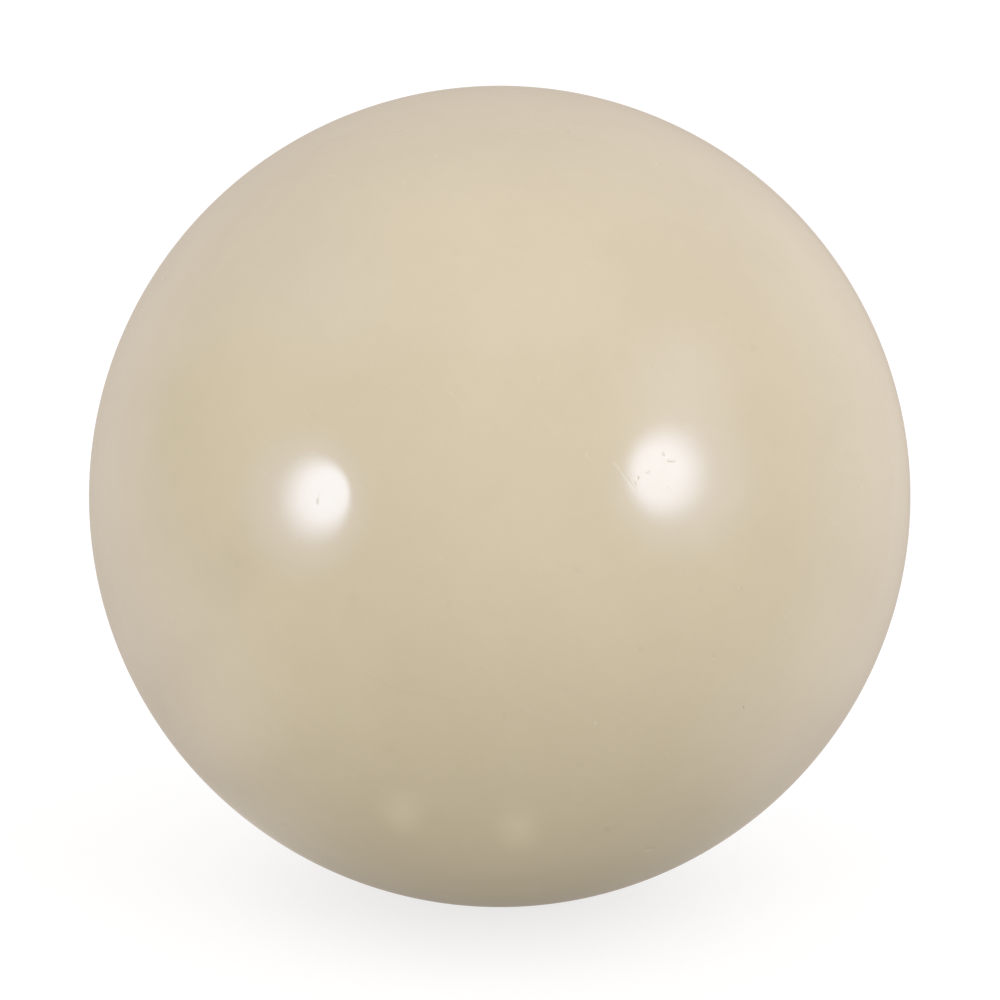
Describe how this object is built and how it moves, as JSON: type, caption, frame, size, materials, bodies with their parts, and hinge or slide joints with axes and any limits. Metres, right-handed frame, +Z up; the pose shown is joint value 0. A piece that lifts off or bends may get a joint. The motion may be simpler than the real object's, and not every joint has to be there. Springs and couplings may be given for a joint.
{
  "type": "billiard ball",
  "caption": "Solid cast-resin ball with a plain polished ivory surface, struck with a cue and rolling freely on a table, for cue sport practice.",
  "frame": {"origin": "centre of the ball", "axes": "+Z up; the ball is the same about every axis, and -Z points to the table it rests on"},
  "size_m": [0.0572, 0.0572, 0.0572],
  "materials": {
    "ivory_resin": "polished"
  },
  "bodies": {
    "root": {"ball": "ivory_resin"}
  },
  "joints": []
}
